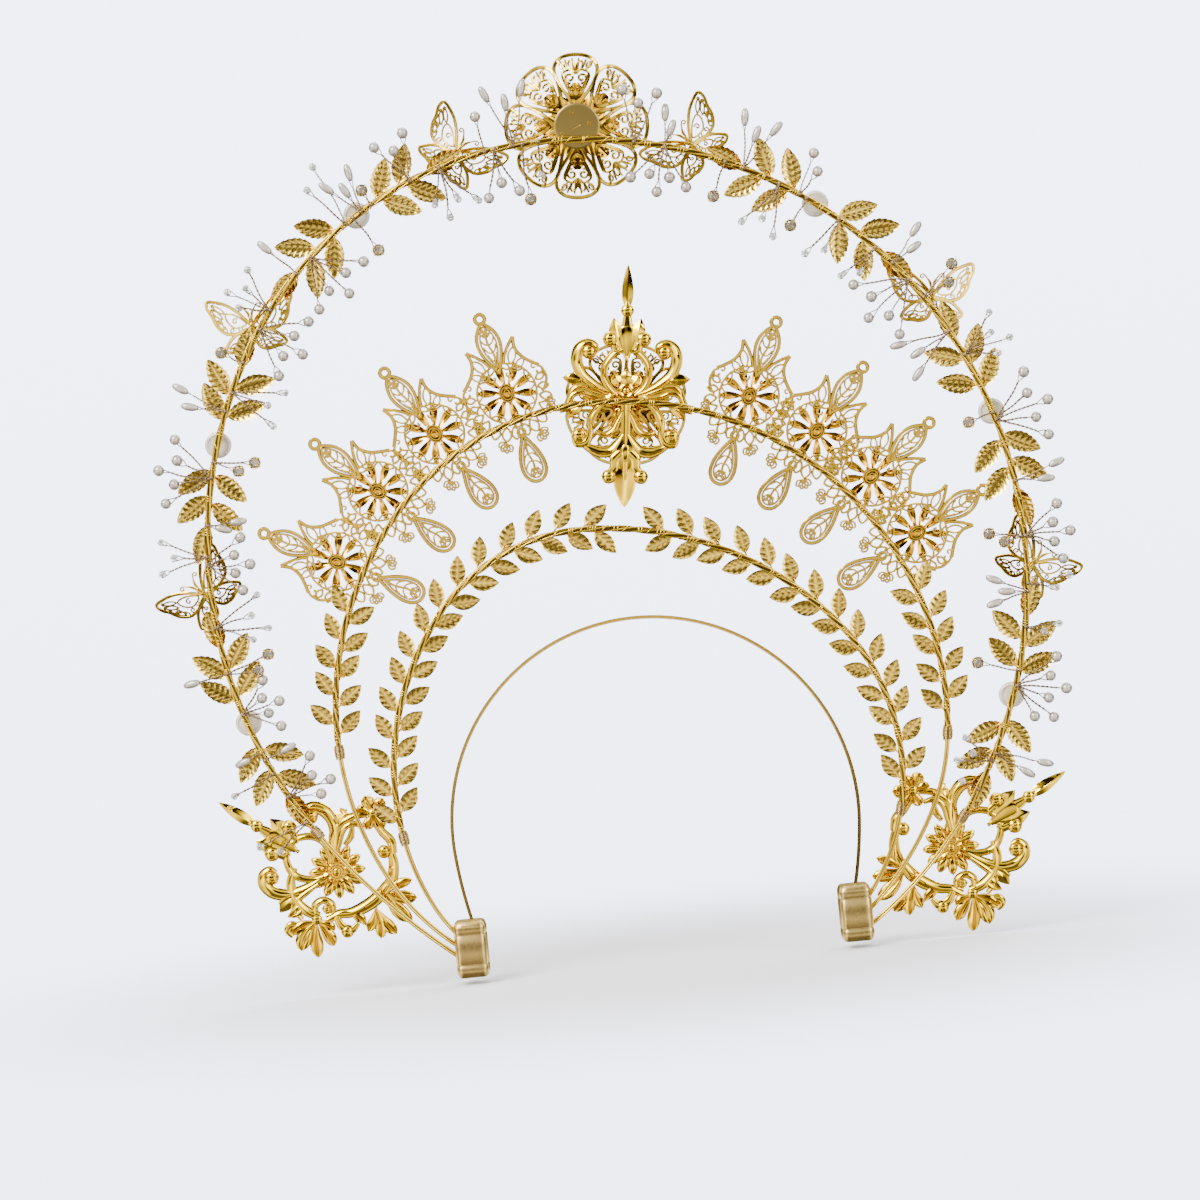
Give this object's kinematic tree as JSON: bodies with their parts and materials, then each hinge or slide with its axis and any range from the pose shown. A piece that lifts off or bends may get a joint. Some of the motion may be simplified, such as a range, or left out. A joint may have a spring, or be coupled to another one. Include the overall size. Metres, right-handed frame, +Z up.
{
  "type": "halo crown",
  "caption": "Headband crown with three upright wire halos, set with stamped leaves, filigree flowers, butterflies, pearls and clear beads.",
  "frame": {"origin": "underside of the headband at its highest point, where the crown sits on the head", "axes": "+X to the wearer's right, +Y the way the wearer faces, +Z up"},
  "size_m": [0.3916, 0.0809, 0.3862],
  "materials": {
    "gold_band": "polished gold plate on flat band",
    "gold_wire": "polished gold wire, wrapped above and bare below",
    "leaf_gold": "stamped sheet, bright gold",
    "filigree_gold": "pierced stamping, bright gold",
    "cast_gold": "mirror-bright cast gold colour",
    "satin_gold": "satin olive gold",
    "collar_gold": "plain satin gold",
    "ivory_pearl": "pearl lustre",
    "clear_crystal": "clear cut glass",
    "silver_wire": "fine twisted silver-brown wire"
  },
  "bodies": {
    "root": {"headband": "gold_band", "outer_wire": "gold_wire", "middle_wire": "gold_wire", "inner_wire": "gold_wire", "center_cartouche": "cast_gold", "center_flower": "filigree_gold", "top_flower": "filigree_gold", "top_flower_disc": "satin_gold", "side_collar_left": "collar_gold", "inner_laurel_left": "leaf_gold", "middle_laurel_left": "leaf_gold", "side_ornament_left": "cast_gold", "side_flower_left": "cast_gold", "cabochons_left": "ivory_pearl", "pearls_left": "ivory_pearl", "rice_pearls_left": "ivory_pearl", "crystals_left": "clear_crystal", "rhinestones_left": "clear_crystal", "sprig_wires_left": "silver_wire", "side_collar_right": "collar_gold", "inner_laurel_right": "leaf_gold", "middle_laurel_right": "leaf_gold", "side_ornament_right": "cast_gold", "side_flower_right": "cast_gold", "cabochons_right": "ivory_pearl", "pearls_right": "ivory_pearl", "rice_pearls_right": "ivory_pearl", "crystals_right": "clear_crystal", "rhinestones_right": "clear_crystal", "sprig_wires_right": "silver_wire", "pendant_left_1": "filigree_gold", "pendant_left_2": "filigree_gold", "pendant_left_3": "filigree_gold", "pendant_left_4": "filigree_gold", "pendant_right_1": "filigree_gold", "pendant_right_2": "filigree_gold", "pendant_right_3": "filigree_gold", "pendant_right_4": "filigree_gold", "butterfly_left_1": "filigree_gold", "butterfly_left_2": "filigree_gold", "butterfly_left_3": "filigree_gold", "butterfly_right_1": "filigree_gold", "butterfly_right_2": "filigree_gold", "butterfly_right_3": "filigree_gold", "leaf_spray_left_1": "leaf_gold", "leaf_spray_left_2": "leaf_gold", "leaf_spray_left_3": "leaf_gold", "leaf_spray_left_4": "leaf_gold", "leaf_spray_left_5": "leaf_gold", "leaf_spray_left_6": "leaf_gold", "leaf_spray_right_1": "leaf_gold", "leaf_spray_right_2": "leaf_gold", "leaf_spray_right_3": "leaf_gold", "leaf_spray_right_4": "leaf_gold", "leaf_spray_right_5": "leaf_gold", "leaf_spray_right_6": "leaf_gold"}
  },
  "joints": []
}
